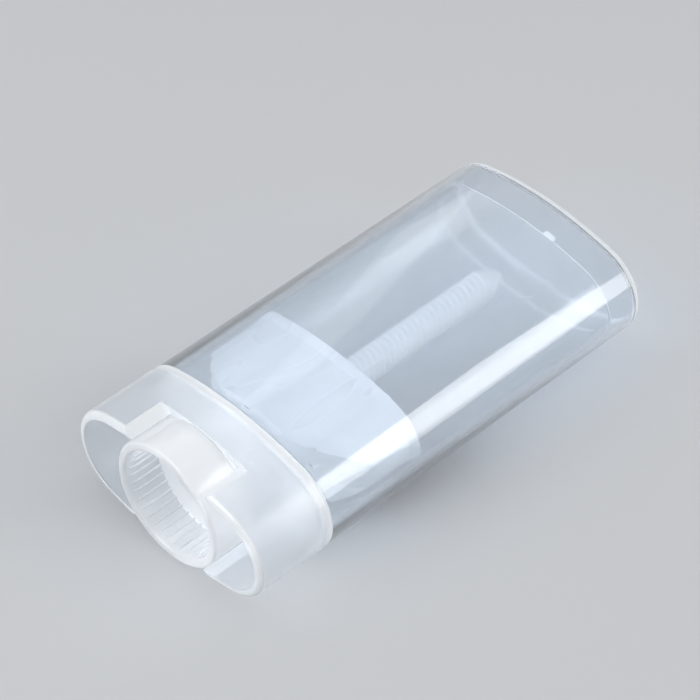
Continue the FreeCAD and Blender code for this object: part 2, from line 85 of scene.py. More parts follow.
# Cap
CAP_MOUTH = CAP_LOW[0] - ORIGIN[0]
CAP_END = CAP_HIGH[0] - ORIGIN[0]
CAP_SET_IN = 0.1
CAP_WALL = 0.8
CAP_END_WALL = 1.0
CAP_DRAFT = math.tan(math.radians(0.15))
CAP_OUTER_RADIUS = 1.3
CAP_INNER_RADIUS = 0.7
CAP_FLAT_ROW = 2.0
# The lip at the mouth and the band over the closed end's rounded corner get a painted highlight finish
CAP_LIP = CAP_MOUTH + 0.15
CAP_CORNER_START, CAP_CORNER_END, CAP_CORNER_INSET = CAP_END - 1.25, CAP_END - 0.12, 1.0

# Tube body
SHOULDER = CAP_MOUTH - 0.1
FLOOR_TOP = SHOULDER + 1.2
SHOULDER_UNDER = SHOULDER - 1.0
BASE_WALL = 1.2
BASE_EDGE_RADIUS = 0.9
TAB_HEIGHT = 0.8
TAB_HALF_WIDTH = 0.9
TAB_OFFSET = 4.4
RIM = TUBE_HIGH[0] - ORIGIN[0] - TAB_HEIGHT
RIM_RADIUS = 0.2
TUBE_INSET = CAP_SET_IN + CAP_WALL + (CAP_END - CAP_MOUTH) * CAP_DRAFT + 0.15
TUBE_WALL = 0.95
BORE_INSET = TUBE_INSET + TUBE_WALL
BORE_FILLET = 0.25
BASE_FILLET = 0.3
COLLAR_END = 6.9
COLLAR_BORE = 5.7
COLLAR_RADIUS = 6.8
FLOOR_HOLE = 2.4
BUMP_RADIUS = 1.0
BUMP_SINK = 0.82
BUMP_START = SHOULDER + 1.6
BUMP_LENGTH = 1.0
BUMP_RAMP = 0.06
BUMP_TURNS = (90, 73, 107, 270, 253, 287)
# Band at the tube's rim that gets a painted highlight finish
RIM_BAND, RIM_BAND_INSET = RIM - 0.12, TUBE_INSET + 0.6

# Twist wheel and screw
WHEEL_RADIUS = (WHEEL_HIGH[2] - WHEEL_LOW[2]) / 2
WHEEL_FRONT = WHEEL_LOW[0] - ORIGIN[0]
WHEEL_EDGE_RADIUS = 0.5
WHEEL_LENGTH = 6.6
WHEEL_WALL = 1.4
WHEEL_BACK = WHEEL_FRONT + WHEEL_LENGTH
CUP_FLOOR = WHEEL_BACK - 0.8
CUP_RADIUS = WHEEL_RADIUS - WHEEL_WALL
CUP_CHAMFER = 0.15
DIMPLE_RADIUS, DIMPLE_DEPTH, DIMPLE_ROUNDING = 2.0, 0.2, 0.08
GATE_RADIUS, GATE_TIP_RADIUS, GATE_TIP = 0.5, 0.38, CUP_FLOOR + 0.08
RIB_COUNT = 40
RIB_START = WHEEL_FRONT + 0.5
RIB_RUN_IN = 1.4
HUB_BORE = 4.6
HUB_RADIUS = 5.5
HUB_TOP = SHOULDER - 0.15
NECK_RADIUS = 2.3
BARB_LOW = FLOOR_TOP + 0.15
BARB_TOP = BARB_LOW + 1.0
BARB_RADIUS = 2.9
SCREW_RADIUS = 2.25
SCREW_TIP = WHEEL_HIGH[0] - ORIGIN[0]
TIP_LENGTH = 3.2
TIP_RADIUS = 0.8
TIP_ROUNDING = 0.55
CONE_ROUNDING = 0.6
THREAD_COLUMNS = 64
THREAD_STEP = 0.0625
THREAD_STARTS = 2
CREST_HALF, FLANK_END = 0.1, 0.27

# Columns of one rib, in degrees from its middle, and which of them are on its top
RIB_COLUMNS = np.array([-1.1, -0.6, 0.6, 1.1, 3.3, 5.7])
RIB_TOP = np.array([0.0, 1.0, 1.0, 0.0, 0.0, 0.0])

# Windows for the wheel, flared outwards
WHEEL_ROOM = 0.35
WINDOW_FLARE = 2.4
WINDOW_END = WHEEL_BACK + WHEEL_ROOM
WINDOW_INNER = ((FACE_RADIUS - BASE_WALL) ** 2 - WHEEL_RADIUS**2 - FACE_CENTRE**2) / (2 * FACE_CENTRE)
WINDOW_HALF = math.sqrt(WHEEL_RADIUS**2 - WINDOW_INNER**2) + WHEEL_ROOM
WINDOW_SLOPE = BASE_WALL / WINDOW_FLARE

# Lift platform, wound down
PLATFORM_UNDER = PLATFORM_LOW[0] - ORIGIN[0]
PLATFORM_RIM = PLATFORM_HIGH[0] - ORIGIN[0]
SEAL_INSET = BORE_INSET + 0.1
SKIRT_INSET = SEAL_INSET + 0.6
BASIN_INSET = SKIRT_INSET + 0.9
SEAL_HEIGHT = 1.4
PLATFORM_WALL = 0.9
KEEL_HALF_WIDTH = 3.5
KEEL_RADIUS = 1.2
BILGE_RADIUS = BODY_WIDTH / 2 - SKIRT_INSET + 0.3 - KEEL_HALF_WIDTH
NUT_GAP = 0.08
NUT_RADIUS = 3.53
NUT_TOP = PLATFORM_UNDER + 7.0
NUT_CHAMFER = 0.35
WEB_HALF = 0.5
WEB_STEP = 0.03

# Width of a flat row that keeps a corner's rounding apart from the middle of a floor, the difference below
# which two measures are the same, and the angle from which an edge is shaded sharp
FLAT_ROW = 0.5
SAME = 1e-9
SHARP_ANGLE = math.radians(34)

# How far the limits of the thick places stand off the faces beside them
MARGIN = 0.05

# Finishes with painted highlights. Only thick places and edges have these colours and clarities, which make
# them show as bright white lines. At the thick places this is partly the real haze of thicker plastic and
# partly painted highlight. At the tube's rim, the cap's lip and its closed end's corner it is painted
# highlight.
THICK_HIGHLIGHT_COLOUR, THICK_HIGHLIGHT_CLARITY = (0.93, 0.955, 0.98), 0.3
EDGE_HIGHLIGHT_COLOUR, CAP_EDGE_HIGHLIGHT_CLARITY, RIM_HIGHLIGHT_CLARITY = (0.96, 0.975, 0.99), 0.34, 0.1
WHEEL_ROUGHNESS = 0.2
MILKY = {"cloud": 0.04, "grain": 0.000003, "passing": 0.88}
MILKY_WALL = {**MILKY, "passing": 0.9}
FROSTED = {"cloud": 0.04, "grain": 0.000004, "passing": 0.93}

# Index of refraction, scales of the noises in the plastics, how far the roughness varies, and where a wall
# that turns edge on begins to look hazier and by how much
PLASTIC_IOR = 1.49
CLOUD_SCALE, FLOW_SCALE, SKIN_SCALE = 180.0, 260.0, 2600.0
FLOW_SHARE = 0.06
HAZE_START, EDGE_HAZE = 0.45, 0.35

# Places where the container touches the floor, in from the wheel's front and from the cap's closed end, and
# how far the cap's rounded corner is above its lowest line there
WHEEL_TOUCH, CAP_TOUCH, CAP_TOUCH_RISE = 0.3, 0.4, 0.3

# Floor, in metres: it is flat out to one radius and ends at the other
FLOOR_FLAT, FLOOR_END = 1.3, 2.5
FLOOR_RISE = 0.9
FLOOR_TINT_SCALE = 6.0

# Camera: the way to it round and above the tube, its lean, its distance from the aim, and its shift
CAMERA_HEADING, CAMERA_HEIGHT, CAMERA_ROLL = -2.3413, 0.7961, 0.0075
CAMERA_DISTANCE = 0.43115
CAMERA_ACROSS, CAMERA_UPWARD = -0.00073, 0.0034


# ---- Settings ----


def length_property(name, description, default, low, high):
    """A length setting in metres, from low to high."""
    return bpy.props.FloatProperty(
        name=name,
        description=description,
        default=default,
        min=low,
        max=high,
        precision=5,
        unit="LENGTH",
        subtype="DISTANCE",
    )


def colour_property(name, description, default):
    """A colour setting with three channels from 0 to 1."""
    return bpy.props.FloatVectorProperty(
        name=name, description=description, default=default, size=3, min=0.0, max=1.0, subtype="COLOR"
    )


def factor_property(name, description, default):
    """A setting from 0 to 1."""
    return bpy.props.FloatProperty(
        name=name, description=description, default=default, min=0.0, max=1.0, subtype="FACTOR"
    )


def power_property(name, description, default):
    """A lamp's power in watts."""
    return bpy.props.FloatProperty(
        name=name, description=description, default=default, min=0.0, unit="POWER"
    )


class ContainerSizes(bpy.types.PropertyGroup):
    """Fine sizes of the moulded surfaces that the CAD solids leave plain."""

    thread_lead: length_property(
        "Thread Lead", "Travel of the platform for one turn of the wheel", 0.002, 0.001, 0.004
    )
    thread_depth: length_property(
        "Thread Depth", "Crest of the lifting thread above its root", 0.0002, 0.0001, 0.0006
    )
    rib_height: length_property(
        "Rib Height", "Grip ribs above the inside of the wheel's cup", 0.0003, 0.0001, 0.0005
    )
    edge_rounding: length_property(
        "Edge Rounding", "Rounding of moulded edges without a larger radius", 0.00012, 0.00002, 0.0003
    )


class ContainerFinishes(bpy.types.PropertyGroup):
    """Colours and clearness of the three natural plastics."""

    clear_colour: colour_property("Clear Colour", "Tint of the clear cap", (0.865, 0.9, 0.94))
    clear_clarity: factor_property("Clear Clarity", "Light the clear plastic lets through", 0.93)
    clear_roughness: factor_property("Clear Roughness", "Roughness of the clear plastic", 0.07)
    tube_colour: colour_property("Tube Colour", "Tint of the product tube", (0.9, 0.928, 0.958))
    tube_clarity: factor_property("Tube Clarity", "Light the product tube lets through", 0.86)
    tube_roughness: factor_property("Tube Roughness", "Roughness of the product tube", 0.1)
    base_colour: colour_property("Base Colour", "Tint of the frosted base", (0.905, 0.93, 0.96))
    base_clarity: factor_property("Base Clarity", "Light the frosted base lets through", 0.8)
    base_roughness: factor_property("Base Roughness", "Roughness of the frosted base", 0.34)
    wheel_clarity: factor_property("Wheel Clarity", "Light the wall of the wheel's cup lets through", 0.48)
    milky_colour: colour_property("Milky Colour", "Tint of wheel, screw and platform", (0.945, 0.96, 0.98))
    milky_clarity: factor_property("Milky Clarity", "Light the screw and the platform let through", 0.22)
    milky_roughness: factor_property("Milky Roughness", "Roughness of the milky plastic", 0.28)


class StudioSettings(bpy.types.PropertyGroup):
    """Floor, lamps and camera."""

    floor_colour: colour_property("Floor Colour", "Colour of the floor and backdrop", (0.57, 0.58, 0.595))
    key_power: power_property("Key Power", "Power of the tall softbox on the right", 2.5)
    fill_power: power_property("Fill Power", "Power of the broad softbox on the left", 6.4)
    sky_strength: bpy.props.FloatProperty(
        name="Sky Strength", description="Strength of the even light from all round", default=0.56, min=0.0
    )
    lens: bpy.props.FloatProperty(
        name="Lens", description="Focal length of the camera", default=166.24, min=20.0, unit="CAMERA"
    )


# ---- Surface tools ----


def placed(name, data):
    """A new object in the scene."""
    made = bpy.data.objects.new(name, data)
    bpy.context.scene.collection.objects.link(made)
    return made


class Surface:
    """Rings of points and the faces between them, which become one closed mesh."""

    def __init__(self):
        self.points = []
        self.faces = []
        self.count = 0

    def add(self, points):
        """Add points of any grid shape. Returns their numbers in the same shape."""
        points = np.asarray(points, dtype=float)
        numbers = self.count + np.arange(points[..., 0].size).reshape(points.shape[:-1])
        self.points.append(points.reshape(-1, 3))
        self.count += numbers.size
        return numbers

    def skin(self, rings, keep=None):
        """Four-sided faces between neighbouring rings, closed round each ring."""
        following = np.roll(rings, -1, axis=1)
        quads = np.stack([rings[:-1], following[:-1], following[1:], rings[1:]], axis=-1)
        quads = quads.reshape(-1, 4) if keep is None else quads[keep]
        self.faces.extend(quads.tolist())

    def triangles(self, ring, tips):
        """A triangle from each edge of a closed ring to the tip given for it."""
        self.faces.extend(np.stack([ring, np.roll(ring, -1), tips], axis=-1).tolist())

    def fan(self, ring, along):
        """Close a ring with triangles to one point on the axis."""
        pole = int(self.add([[along, 0.0, 0.0]])[0])
        self.triangles(ring, np.full_like(ring, pole))

    def bridge(self, first, first_turns, second, second_turns):
        """Triangles between two rings with different numbers of points.

        Each edge of one ring goes to the last point of the other ring that its far end has passed, counted
        by the angle round the axis.
        """
        twice_first = np.append(first_turns, first_turns + 2 * math.pi)
        twice_second = np.append(second_turns, second_turns + 2 * math.pi)
        passed = np.searchsorted(twice_second, twice_first[1 : len(first) + 1], side="right") - 1
        self.triangles(first, second[passed % len(second)])
        passed = np.searchsorted(twice_first, twice_second[1 : len(second) + 1], side="left") - 1
        self.triangles(second, first[passed % len(first)])

    def piece(self, name, materials, choose=None):
        """Put the surface into a mesh, merge its doubles, turn its faces outwards and shade it."""
        points = (np.concatenate(self.points) + ORIGIN) * MM
        mesh = bpy.data.meshes.new(name)
        mesh.from_pydata(points.tolist(), [], self.faces)
        work = bmesh.new()
        work.from_mesh(mesh)
        bmesh.ops.remove_doubles(work, verts=work.verts, dist=1.0e-6)
        bmesh.ops.recalc_face_normals(work, faces=work.faces)
        work.to_mesh(mesh)
        work.free()
        for material in materials:
            mesh.materials.append(material)
        if choose is not None:
            middles = np.empty(len(mesh.polygons) * 3)
            mesh.polygons.foreach_get("center", middles)
            places = middles.reshape(-1, 3) / MM - ORIGIN
            mesh.polygons.foreach_set("material_index", choose(places).astype(np.int32))
        mesh.polygons.foreach_set("use_smooth", np.ones(len(mesh.polygons), dtype=bool))
        mesh.set_sharp_from_angle(angle=SHARP_ANGLE)
        mesh.update()
        return placed(name, mesh)


def rounded_path(corners, steps=5):
    """Rows (along, across) of a profile whose corners (along, across, rounding) are rounded.

    The arc touches both sides of its corner at rounding / tan(half the corner's angle) from it, and its
    centre is on the bisector at rounding / sin(half the angle). A corner with no rounding stays one row.
    """
    places = np.array([corner[:2] for corner in corners], dtype=float)
    rows = []
    for index, corner in enumerate(corners):
        here, rounding = places[index], corner[2]
        if rounding == 0:
            rows.append(here[None])
            continue
        back, ahead = places[index - 1] - here, places[index + 1] - here
        back, ahead = back / np.linalg.norm(back), ahead / np.linalg.norm(ahead)
        half = math.acos(float(np.clip(back @ ahead, -1, 1))) / 2
        start, end = here + back * rounding / math.tan(half), here + ahead * rounding / math.tan(half)
        bisector = (back + ahead) / np.linalg.norm(back + ahead)
        centre = here + bisector * rounding / math.sin(half)
        first = math.atan2(*(start - centre)[::-1])
        sweep = math.atan2(*(end - centre)[::-1]) - first
        sweep = (sweep + math.pi) % (2 * math.pi) - math.pi
        turns = first + sweep * np.linspace(0, 1, steps + 1)
        rows.append(centre + rounding * np.stack([np.cos(turns), np.sin(turns)], axis=-1))
    return np.concatenate(rows)


def oval_points(along, inset, turns):
    """Points of the container's oval, by the direction of its normal.

    A point is its arc's centre plus the normal times the arc's radius less the inset. Normals steeper than
    the joint belong to the face arcs, which have their centres on the far side of the axis, and the others
    to the end arcs.
    """
    along, inset, turns = np.broadcast_arrays(along, inset, turns)
    cosine, sine = np.cos(turns), np.sin(turns)
    on_face = np.abs(sine) > math.sin(JOINT_TURN)
    radius = np.where(on_face, FACE_RADIUS, END_RADIUS) - inset
    across = radius * cosine + np.where(on_face, 0.0, np.sign(cosine) * END_CENTRE)
    up = radius * sine - np.where(on_face, np.sign(sine) * FACE_CENTRE, 0.0)
    return np.stack([along, across, up], axis=-1)


def oval_inset(places):
    """How far points lie inside the base's oval: the nearest arc's radius less the way from its centre."""
    across, up = np.abs(places[:, 1]), np.abs(places[:, 2])
    on_face = (up + FACE_CENTRE) * END_CENTRE > across * FACE_CENTRE
    to_face = FACE_RADIUS - np.hypot(across, up + FACE_CENTRE)
    to_end = END_RADIUS - np.hypot(across - END_CENTRE, up)
    return np.where(on_face, to_face, to_end)


def round_points(along, radius, turns):
    """Points of circles about the axis: across is radius times cosine and up is radius times sine."""
    along, radius, turns = np.broadcast_arrays(along, radius, turns)
    return np.stack([along, radius * np.cos(turns), radius * np.sin(turns)], axis=-1)


def oval_turns(end_steps, face_steps, extra=()):
    """Angles of the oval's columns, in radians over a whole turn: even steps on each arc, and extras."""
    joint = math.degrees(JOINT_TURN)
    ends = np.linspace(-joint, joint, end_steps + 1)
    faces = np.linspace(joint, 180 - joint, face_steps + 1)
    degrees = np.concatenate([ends, faces, ends + 180, faces + 180, *extra])
    return np.radians(np.unique(np.round(degrees % 360, 5)))


def in_quarters(turn):
    """An angle from the across axis mirrored into all four quarters, in radians."""
    return [turn, math.pi - turn, math.pi + turn, 2 * math.pi - turn]


def smooth_step(values, low, high):
    """0 below low and 1 above high, with an even S-curve between: 3s^2 - 2s^3 of the share s of the way."""
    share = np.clip((values - low) / (high - low), 0, 1)
    return share * share * (3 - 2 * share)


def thread_crest(along, turns, lead):
    """How far a left-handed thread stands out, from 0 at its root to 1 at its crest.

    The thread has THREAD_STARTS starts, so its pitch is the lead divided by them. The place within one
    pitch is along + lead * angle / whole turn. The crest is flat for a fifth of the pitch and its flanks
    fall over a sixth of it on each side.
    """
    phase = (along + lead * turns / (2 * math.pi)) * THREAD_STARTS / lead
    from_crest = np.abs((phase % 1.0) - 0.5)
    return 1 - smooth_step(from_crest, CREST_HALF, FLANK_END)


# ---- Pieces ----


def cap_surface(edge):
    """Cap: the path of its wall carried round the oval.

    It runs from the middle of the inside of the closed end along the drafted inner wall to the mouth, and
    back along the outer wall to the middle of the closed end.
    """
    surface = Surface()
    inner_end = CAP_END - CAP_END_WALL
    inner_inset = CAP_SET_IN + CAP_WALL + (inner_end - CAP_MOUTH) * CAP_DRAFT
    outer_inset = CAP_SET_IN + (CAP_END - CAP_MOUTH) * CAP_DRAFT
    path = rounded_path(
        [
            (inner_end, inner_inset + CAP_FLAT_ROW, 0),
            (inner_end, inner_inset, CAP_INNER_RADIUS),
            (CAP_MOUTH, CAP_SET_IN + CAP_WALL, edge),
            (CAP_MOUTH, CAP_SET_IN, edge),
            (CAP_END, outer_inset, CAP_OUTER_RADIUS),
            (CAP_END, outer_inset + CAP_FLAT_ROW, 0),
        ],
        steps=8,
    )
    turns = oval_turns(44, 80)
    rings = surface.add(oval_points(path[:, :1], path[:, 1:], turns[None]))
    surface.skin(rings)
    surface.fan(rings[0], inner_end)
    surface.fan(rings[-1], CAP_END)
    return surface


def bump_height(turns, centre, radius):
    """Height of a round bar over the wall it is sunk in, by the angle between normals.

    From the arc's centre the bar's surface is at c cos(angle) + sqrt(1 - (c sin(angle))^2) times the bar's
    radius, with c the distance of the bar's middle, and the wall is at the arc's radius.
    """
    reach = radius - BUMP_SINK
    angle = (turns - centre + math.pi) % (2 * math.pi) - math.pi
    side = reach * np.sin(angle)
    bar = reach * np.cos(angle) + np.sqrt(np.clip(BUMP_RADIUS**2 - side**2, 0, None))
    on_bar = (np.abs(side) < BUMP_RADIUS) & (np.cos(angle) > 0)
    return np.where(on_bar, np.clip(bar - radius, 0, None), 0)


def window_edge():
    """Across place where a window's flared side comes out of the wide face.

    The side is the line through (WINDOW_HALF, WINDOW_INNER) with slope WINDOW_SLOPE, and the face is the
    arc of FACE_RADIUS about a point FACE_CENTRE below the axis: one quadratic gives where they meet.
    """
    lift = WINDOW_INNER - WINDOW_SLOPE * WINDOW_HALF + FACE_CENTRE
    a, b, c = 1 + WINDOW_SLOPE**2, 2 * WINDOW_SLOPE * lift, lift**2 - FACE_RADIUS**2
    return (-b + math.sqrt(b * b - 4 * a * c)) / (2 * a)


def tube_body_turns():
    """Columns of the tube body: even steps, and more at the bumps, the tab's sides and the windows' sides.

    Returns them with the angle of the windows' outer sides.
    """
    face_radius, end_radius = FACE_RADIUS - TUBE_INSET, END_RADIUS - TUBE_INSET
    spread = np.array([-1, -0.93, -0.8, -0.6, -0.4, -0.2, 0, 0.2, 0.4, 0.6, 0.8, 0.93, 1])
    extra = []
    for turn in BUMP_TURNS:
        radius = face_radius if turn % 90 == 0 else end_radius
        reach = radius - BUMP_SINK
        half = math.degrees(math.acos((radius**2 + reach**2 - BUMP_RADIUS**2) / (2 * radius * reach)))
        extra.append(turn + half * spread)
    sides = np.array([1, 0.995, 0.975, 0.93, 0.84, 0.7, 0.4, 0])
    places = -TAB_OFFSET + TAB_HALF_WIDTH * np.concatenate([-sides, sides])
    extra.append(np.degrees(np.arccos(places / (face_radius - TUBE_WALL / 2))))
    outer_turn = math.acos(window_edge() / FACE_RADIUS)
    extra.append(np.degrees(in_quarters(outer_turn)))
    return oval_turns(40, 64, extra), outer_turn


def tube_body_surface(edge):
    """Tube body: one closed path carried round the oval and, under the floor, round the collar.

    It runs from the floor up the bore, over the rim, down the product tube to the shoulder, down the base
    to its open edge, up inside the base, and under the floor round the collar to the hole for the neck.
    Each bump raises the tube's wall by bump_height. The tab raises the rim by its height times the fourth
    root of 1 - s^7, with s the share of the way from its middle to its side. The windows leave out the
    base's faces between their sides and close the wall's cut edge.
    """
    surface = Surface()
    turns, outer_turn = tube_body_turns()
    bump_end, below_rim = BUMP_START + BUMP_LENGTH, RIM - RIM_RADIUS - 0.05
    oval_path = rounded_path(
        [
            (FLOOR_TOP, BORE_INSET + FLAT_ROW, 0),
            (FLOOR_TOP, BORE_INSET, BORE_FILLET),
            (below_rim, BORE_INSET, 0),
            (RIM, BORE_INSET, RIM_RADIUS),
            (RIM, TUBE_INSET, RIM_RADIUS),
            (below_rim, TUBE_INSET, 0),
            (bump_end, TUBE_INSET, 0),
            (bump_end - BUMP_RAMP, TUBE_INSET, 0),
            (BUMP_START + BUMP_RAMP, TUBE_INSET, 0),
            (BUMP_START, TUBE_INSET, 0),
            (SHOULDER, TUBE_INSET, edge),
            (SHOULDER, 0, edge),
            (SHOULDER_UNDER, 0, 0),
            (WINDOW_END, 0, 0),
            (0, 0, BASE_EDGE_RADIUS),
            (0, BASE_WALL, edge),
            (WINDOW_END, BASE_WALL, 0),
            (SHOULDER_UNDER, BASE_WALL, BASE_FILLET),
            (SHOULDER_UNDER, BORE_INSET, edge),
            (SHOULDER, BORE_INSET, edge),
            (SHOULDER, BORE_INSET + FLAT_ROW, 0),
        ]
    )
    along, inset = oval_path[:, :1], oval_path[:, 1:]
    order = np.arange(len(oval_path))[:, None]
    outermost = int(np.argmax(np.abs(inset[:, 0]) < SAME))

    # inside the base the columns lean towards the windows' inner sides
    inner_turn = math.acos(WINDOW_HALF / (FACE_RADIUS - BASE_WALL))
    outer_sides, inner_sides = in_quarters(outer_turn), in_quarters(inner_turn)
    fixed = [0, math.pi, 2 * math.pi, *in_quarters(JOINT_TURN)]
    leaning = np.interp(turns, sorted(fixed + outer_sides), sorted(fixed + inner_sides))
    lean = np.where(order >= outermost, np.clip(inset / BASE_WALL, 0, 1), 0)
    ring_turns = turns + (leaning - turns) * lean

    on_wall = (np.abs(inset - TUBE_INSET) < SAME) & (order < outermost)
    ends = np.clip((BUMP_LENGTH / 2 - np.abs(along - BUMP_START - BUMP_LENGTH / 2)) / BUMP_RAMP, 0, 1)
    raised = np.zeros_like(turns)
    for turn in BUMP_TURNS:
        radius = (FACE_RADIUS if turn % 90 == 0 else END_RADIUS) - TUBE_INSET
        raised = np.maximum(raised, bump_height(turns, math.radians(turn), radius))
    proud = np.where(on_wall, ends * raised, 0)

    across = (FACE_RADIUS - TUBE_INSET - TUBE_WALL / 2) * np.cos(turns) + TAB_OFFSET
    share = np.clip(np.abs(across) / TAB_HALF_WIDTH, 0, 1)
    tab = np.where(np.sin(turns) > math.sin(JOINT_TURN), TAB_HEIGHT * (1 - share**7) ** (1 / 4), 0)
    lifted = (along > below_rim + 0.04) & (order < outermost)
    places = along + np.where(lifted, tab, 0)

    ovals = surface.add(oval_points(places, inset - proud, ring_turns))
    collar_path = rounded_path(
        [
            (SHOULDER, COLLAR_RADIUS + FLAT_ROW, 0),
            (SHOULDER, COLLAR_RADIUS, edge),
            (COLLAR_END, COLLAR_RADIUS, edge),
            (COLLAR_END, COLLAR_BORE, edge),
            (SHOULDER, COLLAR_BORE, edge),
            (SHOULDER, FLOOR_HOLE, edge),
            (FLOOR_TOP, FLOOR_HOLE, edge),
            (FLOOR_TOP, FLOOR_HOLE + FLAT_ROW, 0),
        ]
    )
    circles = surface.add(round_points(collar_path[:, :1], collar_path[:, 1:], turns[None]))
    rings = np.concatenate([ovals, circles, ovals[:1]])

    # quads of the window: both of its rings within its end, and its columns between its sides
    in_end = (along[:, 0] < WINDOW_END + 1e-6) & (order[:, 0] > outermost)
    in_end = np.append(in_end, np.zeros(len(circles) + 1, bool))
    middles = (turns + np.append(turns[1:], turns[0] + 2 * math.pi)) / 2
    between = np.abs(np.cos(middles)) < math.cos(outer_turn)
    window = (in_end[:-1] & in_end[1:])[:, None] & between[None]
    surface.skin(rings, ~window)

    cut = np.flatnonzero(in_end)
    lintel = np.stack([rings[cut[0]], rings[cut[-1]]])
    surface.skin(lintel, between[None])
    for side in outer_sides:
        column = int(np.argmin(np.abs(turns - side)))
        surface.faces.append(rings[cut, column].tolist())
    return surface


def twist_wheel_surface(edge, lead, depth, rib_height):
    """Twist wheel: the paths of its screw and of its cup turned about the axis.

    The screw's radius falls from its crest by the thread's depth where thread_crest is 0, and the thread
    fades out before the barb and before the conical tip. The cup's inner wall comes inwards by the ribs'
    height at each of its ribs, which have sloping sides and rise over RIB_RUN_IN. A flat ring joins the
    screw's columns to the cup's.
    """
    surface = Surface()
    turns = np.arange(THREAD_COLUMNS) * (2 * math.pi / THREAD_COLUMNS)
    cone = SCREW_TIP - TIP_LENGTH
    nose = rounded_path(
        [
            (SCREW_TIP, 0.0, 0),
            (SCREW_TIP, TIP_RADIUS, TIP_ROUNDING),
            (cone, SCREW_RADIUS, CONE_ROUNDING),
            (BARB_TOP, SCREW_RADIUS, 0),
        ]
    )[1:-1]
    shaft = np.arange(nose[-1, 0] - THREAD_STEP, BARB_TOP + 0.12, -THREAD_STEP)
    shaft = np.stack([shaft, np.full_like(shaft, SCREW_RADIUS)], axis=-1)
    neck = rounded_path(
        [
            (BARB_TOP + 1, SCREW_RADIUS, 0),
            (BARB_TOP, SCREW_RADIUS, edge),
            (BARB_LOW, BARB_RADIUS, edge),
            (BARB_LOW, NECK_RADIUS, edge / 2),
            (WHEEL_BACK, NECK_RADIUS, 0),
        ]
    )[1:]
    path = np.concatenate([nose, shaft, neck])
    along, radius = path[:, :1], path[:, 1:]
    fade = smooth_step(along, BARB_TOP + 0.05, BARB_TOP + 0.5)
    fade = fade * (1 - smooth_step(along, cone - 0.5, cone + 0.4))
    radius = radius - depth * fade * (1 - thread_crest(along, turns[None], lead))
    screw = surface.add(round_points(along, radius, turns[None]))
    surface.skin(screw)
    surface.fan(screw[0], SCREW_TIP)

    columns = (np.arange(RIB_COUNT)[:, None] * (360 / RIB_COUNT) + RIB_COLUMNS).ravel() % 360
    order = np.argsort(columns)
    cup_turns = np.radians(columns[order])
    rib = np.tile(RIB_TOP, RIB_COUNT)[order]
    run_in = [(RIB_START + RIB_RUN_IN * share, CUP_RADIUS, 0) for share in (0, 0.25, 0.5, 0.75, 1)]
    path = rounded_path(
        [
            (WHEEL_BACK, HUB_BORE - 0.4, 0),
            (WHEEL_BACK, HUB_BORE, edge),
            (HUB_TOP, HUB_BORE, edge),
            (HUB_TOP, HUB_RADIUS, edge),
            (WHEEL_BACK, HUB_RADIUS, edge),
            (WHEEL_BACK, WHEEL_RADIUS, WHEEL_EDGE_RADIUS),
            (WHEEL_FRONT, WHEEL_RADIUS, WHEEL_EDGE_RADIUS),
            (WHEEL_FRONT, CUP_RADIUS, WHEEL_EDGE_RADIUS - 0.02),
            *run_in,
            (CUP_FLOOR - CUP_CHAMFER, CUP_RADIUS, 0),
            (CUP_FLOOR, CUP_RADIUS - CUP_CHAMFER, 0),
            (CUP_FLOOR, CUP_RADIUS - 0.5, 0),
            (CUP_FLOOR, DIMPLE_RADIUS, DIMPLE_ROUNDING),
            (CUP_FLOOR + DIMPLE_DEPTH, DIMPLE_RADIUS - DIMPLE_DEPTH, DIMPLE_ROUNDING),
            (CUP_FLOOR + DIMPLE_DEPTH, GATE_RADIUS, 0),
            (GATE_TIP, GATE_TIP_RADIUS, 0),
        ]
    )
    along, radius = path[:, :1], path[:, 1:]
    order = np.arange(len(path))[:, None]
    start = int(np.argmax(np.abs(along[:, 0] - RIB_START) < SAME))
    ribbed = (order > start) & (radius > CUP_RADIUS - 0.2)
    raised = rib_height * rib * smooth_step(along, RIB_START, RIB_START + RIB_RUN_IN)
    radius = radius - np.where(ribbed, np.minimum(raised, radius - CUP_RADIUS + rib_height), 0)
    cup = surface.add(round_points(along, radius, cup_turns[None]))
    surface.skin(cup)
    surface.fan(cup[-1], GATE_TIP)
    surface.bridge(screw[-1], turns, cup[0], cup_turns)
    return surface


def underside(across, up):
    """Place of the platform's underside: the larger of the boat's and the keel's.

    The boat is flat to KEEL_HALF_WIDTH each side of the middle, then a quarter circle of BILGE_RADIUS. The
    keel is a quarter circle of KEEL_RADIUS into each wide face.
    """
    face = BODY_DEPTH / 2 - SKIRT_INSET
    boat = np.clip(np.abs(across) - KEEL_HALF_WIDTH, 0, BILGE_RADIUS)
    keel = np.clip(np.abs(up) - face + KEEL_RADIUS, 0, KEEL_RADIUS)
    boat = BILGE_RADIUS - np.sqrt(BILGE_RADIUS**2 - boat**2)
    keel = KEEL_RADIUS - np.sqrt(KEEL_RADIUS**2 - keel**2)
    return PLATFORM_UNDER + np.maximum(boat, keel)


def basin_floor(across):
    """Place of the basin's floor: the boat's curve one wall further in."""
    radius = BILGE_RADIUS - PLATFORM_WALL
    boat = np.clip(np.abs(across) - KEEL_HALF_WIDTH, 0, radius)
    return PLATFORM_UNDER + PLATFORM_WALL + radius - np.sqrt(radius**2 - boat**2)


def web_knots(radius):
    """Angles of both webs' sides, feet and middles at a radius, in degrees: arcsin(half width / radius)."""
    side, foot = (math.degrees(math.asin(half / radius)) for half in (WEB_HALF, WEB_HALF + WEB_STEP))
    knots = np.array([0, 90 - foot, 90 - side, 90, 90 + side, 90 + foot])
    return np.concatenate([knots, 180 + knots, [360]])


